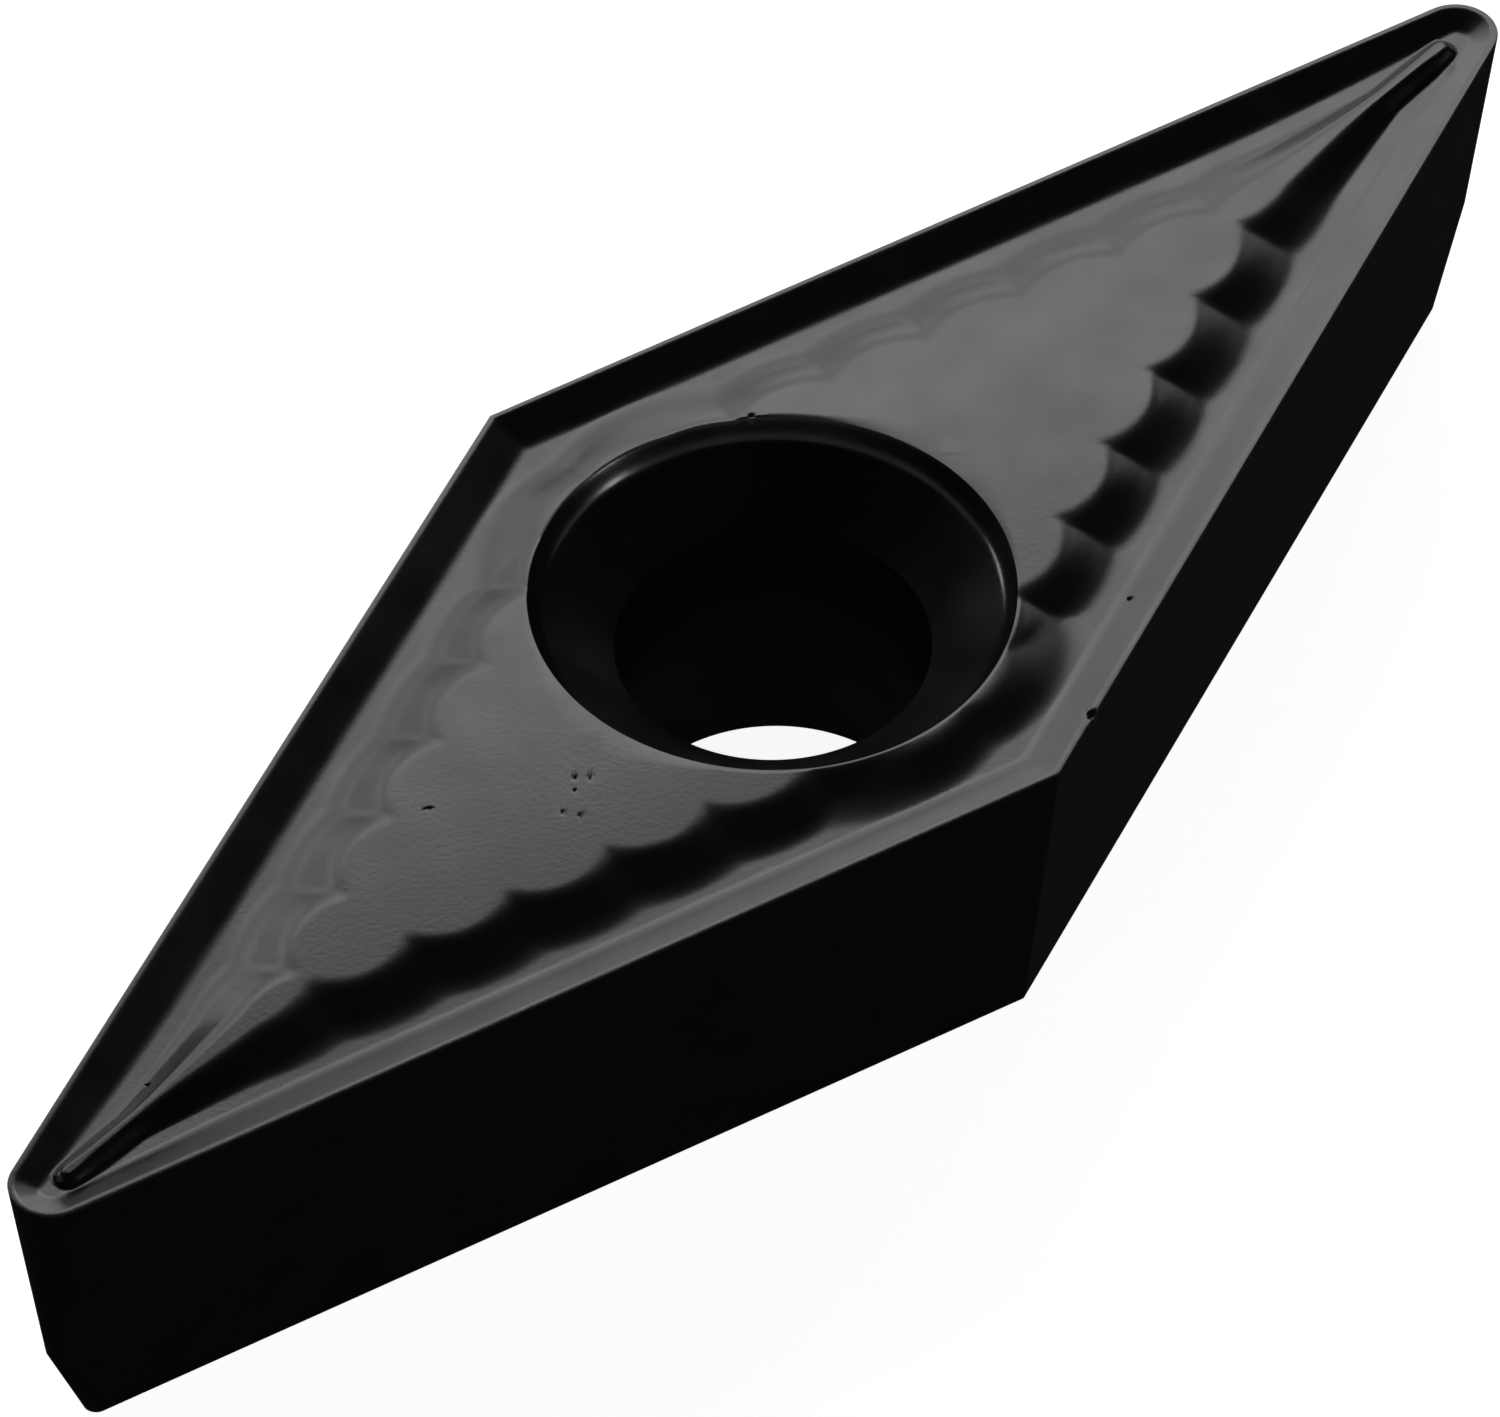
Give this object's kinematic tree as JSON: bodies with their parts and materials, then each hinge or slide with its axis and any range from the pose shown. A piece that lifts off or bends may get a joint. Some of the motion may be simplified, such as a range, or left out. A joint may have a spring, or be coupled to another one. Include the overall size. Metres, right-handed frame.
{
  "type": "carbide insert",
  "caption": "Single-sided 35 degree rhombic turning insert in black coated carbide, with a countersunk screw hole and a scalloped chipbreaker.",
  "frame": {"origin": "centre of the bottom face, on the axis of the screw hole", "axes": "+X along the long diagonal towards one cutting nose, +Y towards an obtuse corner, +Z along the screw hole towards the cutting face"},
  "size_m": [0.0194, 0.0066, 0.0032],
  "materials": {
    "coated_carbide": "satin black hard coating on pressed and sintered tungsten carbide"
  },
  "bodies": {
    "root": {"insert_body": "coated_carbide"}
  },
  "joints": []
}
